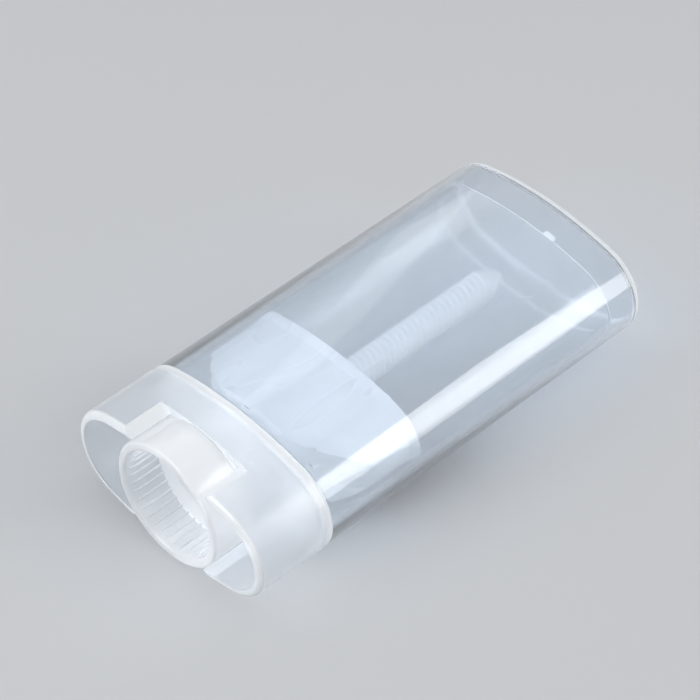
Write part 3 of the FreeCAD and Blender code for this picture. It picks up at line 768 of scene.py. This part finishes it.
def lift_platform_surface(edge, lead, depth):
    """Lift platform: rings from the nut's hole out over the underside and back through the basin.

    They go up the skirt and the sealing lip, down the basin, over its floor and webs to the nut, and down
    through the threaded hole. A ring of the underside or the floor is a blend of a circle and the oval,
    (1 - s) circle + s oval, and its height is that of the surface at each point. The columns are spaced so
    that a web's sides are straight. The nut's radius is the screw's at rest plus the gap, so the two are in
    mesh, and the thread fades at both ends.
    """
    surface = Surface()
    knots = web_knots(FACE_RADIUS - BASIN_INSET)
    halfway = (knots[[2, 4, 8, 10]] + knots[[3, 3, 9, 9]]) / 2
    turns = oval_turns(40, 48, [knots, halfway])
    hub_turns = np.radians(np.interp(np.degrees(turns), knots, web_knots(NUT_RADIUS)))

    # underside, from the nut's hole outwards
    mouth = SCREW_RADIUS + NUT_GAP + NUT_CHAMFER
    face = BODY_DEPTH / 2 - SKIRT_INSET
    keel_angles = np.linspace(0, math.pi / 2, 8)
    keel = (face - KEEL_RADIUS + KEEL_RADIUS * np.sin(keel_angles) - mouth) / (face - mouth)
    shares = np.concatenate([np.linspace(0, keel[0], 9)[:-1], keel])[:, None, None]
    circle = round_points(0.0, mouth, hub_turns)
    oval = oval_points(0.0, SKIRT_INSET, turns)
    under = (1 - shares) * circle + shares * oval
    under[..., 0] = underside(under[..., 1], under[..., 2])

    # skirt, sealing lip and basin wall
    lip_start = PLATFORM_RIM - SEAL_HEIGHT
    path = rounded_path(
        [
            (lip_start - 2, SKIRT_INSET, 0),
            (lip_start, SKIRT_INSET, edge),
            (PLATFORM_RIM, SEAL_INSET, edge),
            (PLATFORM_RIM, BASIN_INSET, edge * 2),
            (PLATFORM_RIM - 2, BASIN_INSET, 0),
        ]
    )
    wall = oval_points(path[:, :1], path[:, 1:], turns[None])

    # floor and webs, from the basin wall inwards
    shares = np.linspace(1, 0, 15)[:, None, None]
    circle = round_points(0.0, NUT_RADIUS, hub_turns)
    oval = oval_points(0.0, BASIN_INSET, turns)
    floor = (1 - shares) * circle + shares * oval
    on_web = np.abs(floor[..., 1]) < WEB_HALF + 0.01
    floor[..., 0] = np.where(on_web, NUT_TOP, basin_floor(floor[..., 1]))

    # nut, up to its top and in to its hole
    path = rounded_path(
        [
            (NUT_TOP - 3, NUT_RADIUS, 0),
            (NUT_TOP, NUT_RADIUS, edge),
            (NUT_TOP, mouth, 0),
            (NUT_TOP, mouth - 0.1, 0),
        ]
    )[1:-1]
    nut = round_points(path[:, :1], path[:, 1:], hub_turns[None])
    beside = np.abs(nut[0, :, 1]) < WEB_HALF + 0.01
    nut[..., 0] = np.where(beside, NUT_TOP, nut[..., 0])
    body = surface.add(np.concatenate([under, wall, floor, nut]))
    surface.skin(body)

    thread_turns = np.arange(THREAD_COLUMNS) * (2 * math.pi / THREAD_COLUMNS)
    along = np.arange(NUT_TOP, PLATFORM_UNDER - 1e-6, -THREAD_STEP)[:, None]
    engaged = smooth_step(along, PLATFORM_UNDER + 0.35, PLATFORM_UNDER + 0.9)
    engaged = engaged * (1 - smooth_step(along, NUT_TOP - 0.7, NUT_TOP - 0.2))
    flare = 0.15 * np.clip(1 - np.minimum(NUT_TOP - along, along - PLATFORM_UNDER) / 0.2, 0, 1)
    radius = SCREW_RADIUS + NUT_GAP + flare
    radius = radius - depth * engaged * (1 - thread_crest(along, thread_turns[None], lead))
    bore = surface.add(round_points(along, radius, thread_turns[None]))
    surface.skin(bore)
    surface.bridge(body[-1], hub_turns, bore[0], thread_turns)
    surface.bridge(bore[-1], thread_turns, body[0], hub_turns)
    return surface


# ---- Finishes ----


class Nodes:
    """Short calls that add nodes to one material's tree."""

    def __init__(self, name):
        self.material = bpy.data.materials.new(name)
        self.material.use_nodes = True
        self.tree = self.material.node_tree
        self.tree.nodes.clear()

    def add(self, kind, values=None, **settings):
        """Add a node with settings on it, and values or links on its inputs."""
        node = self.tree.nodes.new(kind)
        for name, setting in settings.items():
            setattr(node, name, setting)
        for name, given in (values or {}).items():
            if isinstance(given, bpy.types.NodeSocket):
                self.tree.links.new(given, node.inputs[name])
            else:
                node.inputs[name].default_value = given
        return node

    def noise(self, place, scale, detail=2.0):
        """Noise on a place, as a value round one half."""
        values = {"Vector": place, "Scale": scale, "Detail": detail, "Roughness": 0.5}
        return self.add("ShaderNodeTexNoise", values).outputs["Fac"]

    def ramp(self, value, start, end, low, high):
        """Map a value from start to end onto low to high."""
        values = {"Value": value, "From Min": start, "From Max": end, "To Min": low, "To Max": high}
        return self.add("ShaderNodeMapRange", values).outputs["Result"]

    def spread(self, value, low, high):
        """Map the useful middle of a noise onto low to high."""
        return self.ramp(value, 0.3, 0.7, low, high)

    def tinted(self, place, scale, colour, share):
        """A colour that a noise darkens by up to a share."""
        tint = self.spread(self.noise(place, scale), 0.0, 1.0)
        shade = [channel * (1 - share) for channel in colour]
        values = {"Factor": tint, "A": (*colour, 1.0), "B": (*shade, 1.0)}
        return self.add("ShaderNodeMix", values, data_type="RGBA").outputs["Result"]


def plastic(name, colour, clarity, roughness, cloud=0.03, grain=0.000002, passing=0.99):
    """Natural polypropylene: light passes through a tinted, slightly hazy wall.

    Clarity is the share of light that goes through instead of being scattered. It falls by EDGE_HAZE
    where the wall is seen edge on. The lamps' light goes straight through each surface, and passing is
    the share that gets through.

    Cloud is how much the tint varies over a few millimetres, as in a thin moulding, and the roughness
    varies with flow marks stretched along the tube. Grain is the height of the fine skin, in metres.
    """
    nodes = Nodes(name)
    place = nodes.add("ShaderNodeTexCoord").outputs["Object"]
    mapping = nodes.add("ShaderNodeMapping", {"Vector": place, "Scale": (0.25, 1.0, 1.0)})
    stretched = mapping.outputs["Vector"]
    tint = nodes.tinted(stretched, CLOUD_SCALE, colour, cloud)
    flow_marks = nodes.noise(stretched, FLOW_SCALE, 1.0)
    flow = nodes.spread(flow_marks, roughness * (1 - FLOW_SHARE), roughness * (1 + FLOW_SHARE))
    skin = nodes.noise(place, SKIN_SCALE)
    bump = nodes.add("ShaderNodeBump", {"Height": skin, "Strength": 0.6, "Distance": grain})
    facing = nodes.add("ShaderNodeLayerWeight", {"Blend": 0.5}).outputs["Facing"]
    haze = nodes.ramp(facing, HAZE_START, 1.0, clarity, clarity * (1 - EDGE_HAZE))
    shader = nodes.add(
        "ShaderNodeBsdfPrincipled",
        {
            "Base Color": tint,
            "Roughness": flow,
            "IOR": PLASTIC_IOR,
            "Transmission Weight": clarity,
            "Normal": bump.outputs["Normal"],
        },
    )
    nodes.tree.links.new(haze, shader.inputs["Transmission Weight"])
    lamp_ray = nodes.add("ShaderNodeLightPath").outputs["Is Shadow Ray"]
    through = [passing * math.sqrt(channel) for channel in colour]
    clear = nodes.add("ShaderNodeBsdfTransparent", {"Color": (*through, 1.0)})
    surface = nodes.add(
        "ShaderNodeMixShader", {0: lamp_ray, 1: shader.outputs["BSDF"], 2: clear.outputs["BSDF"]}
    )
    nodes.add("ShaderNodeOutputMaterial", {"Surface": surface.outputs["Shader"]})
    return nodes.material


def floor_finish(name, colour):
    """Plain pale floor: a matt sheet with a faint change of tint over a hand's width."""
    nodes = Nodes(name)
    place = nodes.add("ShaderNodeTexCoord").outputs["Object"]
    tint = nodes.tinted(place, FLOOR_TINT_SCALE, colour, 0.015)
    shader = nodes.add(
        "ShaderNodeBsdfPrincipled", {"Base Color": tint, "Roughness": 0.7, "Specular IOR Level": 0.25}
    )
    nodes.add("ShaderNodeOutputMaterial", {"Surface": shader.outputs["BSDF"]})
    return nodes.material


# ---- Operators ----


def settle(piece, body, node):
    """Make a piece ride on its body and stand for its CAD node, which it hides."""
    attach(piece, body)
    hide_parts(node)


class BALM_OT_cap(bpy.types.Operator):
    """Build the clear slip-on cap"""

    bl_idname = "balm.cap"
    bl_label = "Cap"

    def execute(self, context):
        sizes, looks = context.scene.balm_sizes, context.scene.balm_finishes
        finish = plastic("clear_plastic", looks.clear_colour, looks.clear_clarity, looks.clear_roughness)
        # Painted highlight: a whiter, less clear finish on the cap's lip and its closed end's corner
        edge = plastic("cap_edge_highlight_plastic", EDGE_HIGHLIGHT_COLOUR, CAP_EDGE_HIGHLIGHT_CLARITY, looks.clear_roughness)
        surface = cap_surface(sizes.edge_rounding / MM)
        settle(surface.piece("cap_shell", [finish, edge], cap_materials), "cap", "cap")
        return {"FINISHED"}


class BALM_OT_tube_body(bpy.types.Operator):
    """Build the tube body: frosted base, product tube, floor and collar in one"""

    bl_idname = "balm.tube_body"
    bl_label = "Tube Body"

    def execute(self, context):
        sizes, looks = context.scene.balm_sizes, context.scene.balm_finishes
        tube = plastic("tube_plastic", looks.tube_colour, looks.tube_clarity, looks.tube_roughness)
        frosted = looks.base_colour, looks.base_clarity, looks.base_roughness
        base = plastic("base_plastic", *frosted, **FROSTED)
        # Painted highlight, partly the real haze of thicker plastic: a whiter, less clear finish on the
        # thick places
        thick_highlight = plastic("thick_highlight_plastic", THICK_HIGHLIGHT_COLOUR, THICK_HIGHLIGHT_CLARITY, looks.tube_roughness)
        # Painted highlight: a nearly opaque white finish on the tube's rim
        rim_highlight = plastic("rim_highlight_plastic", EDGE_HIGHLIGHT_COLOUR, RIM_HIGHLIGHT_CLARITY, looks.tube_roughness)
        surface = tube_body_surface(sizes.edge_rounding / MM)
        piece = surface.piece("tube_shell", [tube, base, thick_highlight, rim_highlight], tube_materials)
        settle(piece, "tube", "tube_body")
        return {"FINISHED"}


class BALM_OT_twist_wheel(bpy.types.Operator):
    """Build the twist wheel with its ribbed cup, hub, barb and threaded screw"""

    bl_idname = "balm.twist_wheel"
    bl_label = "Twist Wheel and Screw"

    def execute(self, context):
        sizes, looks = context.scene.balm_sizes, context.scene.balm_finishes
        milky = looks.milky_colour, looks.milky_clarity, looks.milky_roughness
        cup = plastic(
            "wheel_plastic", looks.milky_colour, looks.wheel_clarity, WHEEL_ROUGHNESS, **MILKY_WALL
        )
        screw = plastic("screw_plastic", *milky, **MILKY)
        surface = twist_wheel_surface(
            sizes.edge_rounding / MM, sizes.thread_lead / MM, sizes.thread_depth / MM, sizes.rib_height / MM
        )
        piece = surface.piece("wheel_and_screw", [cup, screw], screw_materials)
        settle(piece, "wheel", "twist_wheel")
        return {"FINISHED"}


class BALM_OT_lift_platform(bpy.types.Operator):
    """Build the lift platform with its basin, webs, sealing lip and threaded nut"""

    bl_idname = "balm.lift_platform"
    bl_label = "Lift Platform"

    def execute(self, context):
        sizes, looks = context.scene.balm_sizes, context.scene.balm_finishes
        milky = looks.milky_colour, looks.milky_clarity, looks.milky_roughness
        finish = plastic("platform_plastic", *milky, **MILKY)
        surface = lift_platform_surface(
            sizes.edge_rounding / MM, sizes.thread_lead / MM, sizes.thread_depth / MM
        )
        settle(surface.piece("platform_basin", [finish]), "platform", "lift_platform")
        return {"FINISHED"}


def tube_materials(places):
    """Numbers of the tube body's materials: 0 product tube, 1 base, 2 thick places, 3 the tube's rim with a
    painted highlight.

    Thick places are the shoulder, the collar, the base's open edge and the windows' cut edges. Their whiter
    finish is partly the haze of thicker plastic and partly painted highlight.
    """
    along = places[:, 0]
    inset = oval_inset(places)
    # Painted highlight band at the tube's rim
    rim_highlight = (along > RIM_BAND) & (inset < RIM_BAND_INSET)
    # Thick places: whiter partly from the haze of thicker plastic and partly as painted highlight
    thick_highlight = (along > SHOULDER_UNDER + MARGIN) & (along < SHOULDER + 0.01)
    thick_highlight |= (np.hypot(places[:, 1], places[:, 2]) < COLLAR_RADIUS + MARGIN) & (along < SHOULDER)
    thick_highlight |= (inset > 0.08) & (inset < BASE_WALL - MARGIN) & (along < WINDOW_END + 0.1)
    return np.where(rim_highlight, 3, np.where(thick_highlight, 2, np.where(along < SHOULDER, 1, 0)))


def screw_materials(places):
    """Numbers of the wheel's materials: 0 the cup's wall, 1 its back, the hub, the neck and the screw."""
    return (places[:, 0] > WHEEL_BACK - 0.1).astype(int)


def cap_materials(places):
    """Numbers of the cap's materials: 0 its walls, 1 the painted highlight on the lip at its mouth and on
    its closed end's corner.
    """
    along = places[:, 0]
    # Painted highlight band over the closed end's rounded corner
    corner = (along > CAP_CORNER_START) & (along < CAP_CORNER_END)
    corner &= oval_inset(places) < CAP_CORNER_INSET
    return ((along < CAP_LIP) | corner).astype(int)


def floor_surface():
    """Floor: a flat disc that rises to a backdrop all round.

    Its height is 0 out to FLOOR_FLAT and then FLOOR_RISE times the square of the way beyond, turned as a
    whole to touch the wheel's lowest line and the lower edge of the cap's closed end.
    """
    flat, rising = np.linspace(0.05, FLOOR_FLAT, 12), np.linspace(FLOOR_FLAT + 0.06, FLOOR_END, 24)
    turns = np.radians(np.arange(0, 360, 3.75))
    radius, turns = np.meshgrid(np.concatenate([flat, rising]), turns, indexing="ij")
    height = FLOOR_RISE * np.clip(radius - FLOOR_FLAT, 0, None) ** 2
    points = np.stack([radius * np.cos(turns), radius * np.sin(turns), height], axis=-1)
    wheel_x = (WHEEL_LOW[0] + WHEEL_TOUCH) * MM
    wheel_z = WHEEL_LOW[2] * MM
    cap_x = (CAP_HIGH[0] - CAP_TOUCH) * MM
    cap_z = (CAP_LOW[2] + CAP_DRAFT * (CAP_END - CAP_MOUTH) + CAP_TOUCH_RISE) * MM
    slope = (cap_z - wheel_z) / (cap_x - wheel_x)
    points[..., 2] += wheel_z + slope * (points[..., 0] - wheel_x)
    return points


def softbox(name, aim, direction, distance, width, height, power, colour):
    """A rectangular lamp at a distance in a direction, facing the place it is aimed at."""
    lamp = bpy.data.lights.new(name, "AREA")
    lamp.shape = "RECTANGLE"
    lamp.size, lamp.size_y = width, height
    lamp.energy, lamp.color = power, colour
    made = placed(name, lamp)
    way = Vector(direction).normalized()
    made.location = aim + way * distance
    made.rotation_euler = way.to_track_quat("Z", "Y").to_euler()


class BALM_OT_studio(bpy.types.Operator):
    """Build the plain studio: pale floor, even light, three softboxes and the camera"""

    bl_idname = "balm.studio"
    bl_label = "Studio"

    def execute(self, context):
        scene, studio = context.scene, context.scene.balm_studio
        surface = floor_surface()
        rows, columns = surface.shape[:2]
        numbers = np.arange(rows * columns).reshape(rows, columns)
        following = np.roll(numbers, -1, axis=1)
        quads = np.stack([numbers[:-1], numbers[1:], following[1:], following[:-1]], axis=-1).reshape(-1, 4)
        mesh = bpy.data.meshes.new("studio_floor")
        mesh.from_pydata(surface.reshape(-1, 3).tolist(), [], quads.tolist() + [numbers[0].tolist()])
        mesh.polygons.foreach_set("use_smooth", np.ones(len(mesh.polygons), dtype=bool))
        mesh.materials.append(floor_finish("studio_floor", studio.floor_colour))
        floor = placed("studio_floor", mesh)

        world = bpy.data.worlds.new("studio_sky")
        world.use_nodes = True
        sky = world.node_tree.nodes["Background"]
        sky.inputs["Color"].default_value = (0.96, 0.98, 1.0, 1.0)
        sky.inputs["Strength"].default_value = studio.sky_strength
        scene.world = world

        axis = Vector((ORIGIN * MM).tolist())
        aim = axis + Vector((0.0335, 0, 0))
        # direction, distance, width, height, power in watts and colour of each softbox
        lamps = {
            "key_softbox": ((0.5, -0.68, 0.42), 0.75, 0.3, 0.62, studio.key_power, (1.0, 0.98, 0.96)),
            "strip_softbox": ((0.498, 0.614, 0.614), 1.0, 0.08, 0.5, 0.12, (1.0, 0.98, 0.98)),
            "fill_softbox": ((-0.75, 0.35, 0.6), 1.0, 0.7, 0.7, studio.fill_power, (0.975, 0.98, 0.985)),
        }
        for name, (direction, distance, width, height, power, colour) in lamps.items():
            softbox(name, aim, direction, distance, width, height, power, colour)

        camera = bpy.data.cameras.new("studio_camera")
        camera.sensor_width = 36.0
        camera.lens = studio.lens
        camera.clip_start, camera.clip_end = 0.01, 20.0
        made = placed("studio_camera", camera)
        level = math.cos(CAMERA_HEIGHT)
        back = Vector(
            (math.cos(CAMERA_HEADING) * level, math.sin(CAMERA_HEADING) * level, math.sin(CAMERA_HEIGHT))
        )
        right = Vector((-math.sin(CAMERA_HEADING), math.cos(CAMERA_HEADING), 0))
        up = back.cross(right)
        across = math.cos(CAMERA_ROLL) * right + math.sin(CAMERA_ROLL) * up
        upward = math.cos(CAMERA_ROLL) * up - math.sin(CAMERA_ROLL) * right
        made.location = aim + back * CAMERA_DISTANCE + CAMERA_ACROSS * across + CAMERA_UPWARD * upward
        made.rotation_euler = Matrix((across, upward, back)).transposed().to_euler()
        scene.camera = made
        scene.view_settings.view_transform = "Standard"
        return {"FINISHED"}


class BALM_PT_container(bpy.types.Panel):
    """Lists the settings and the operators of the container."""

    bl_idname = "BALM_PT_container"
    bl_label = "Lip Balm Container"
    bl_space_type = "VIEW_3D"
    bl_region_type = "UI"
    bl_category = "Lip Balm"

    def draw(self, context):
        scene = context.scene
        for group in (scene.balm_sizes, scene.balm_finishes, scene.balm_studio):
            box = self.layout.box()
            for name in group.__annotations__:
                box.prop(group, name)
        for operator in OPERATORS:
            self.layout.operator(operator.bl_idname)


OPERATORS = (BALM_OT_cap, BALM_OT_tube_body, BALM_OT_twist_wheel, BALM_OT_lift_platform, BALM_OT_studio)
CLASSES = (ContainerSizes, ContainerFinishes, StudioSettings, *OPERATORS, BALM_PT_container)


def register():
    """Register the classes and hang the settings on the scene."""
    for item in CLASSES:
        bpy.utils.register_class(item)
    bpy.types.Scene.balm_sizes = bpy.props.PointerProperty(type=ContainerSizes)
    bpy.types.Scene.balm_finishes = bpy.props.PointerProperty(type=ContainerFinishes)
    bpy.types.Scene.balm_studio = bpy.props.PointerProperty(type=StudioSettings)


def unregister():
    """Take the settings off the scene and unregister the classes."""
    for name in ("balm_sizes", "balm_finishes", "balm_studio"):
        delattr(bpy.types.Scene, name)
    for item in reversed(CLASSES):
        bpy.utils.unregister_class(item)


def main():
    """Build every piece and the studio."""
    register()
    bpy.ops.balm.cap()
    bpy.ops.balm.tube_body()
    bpy.ops.balm.twist_wheel()
    bpy.ops.balm.lift_platform()
    bpy.ops.balm.studio()


if __name__ == "__main__":
    main()
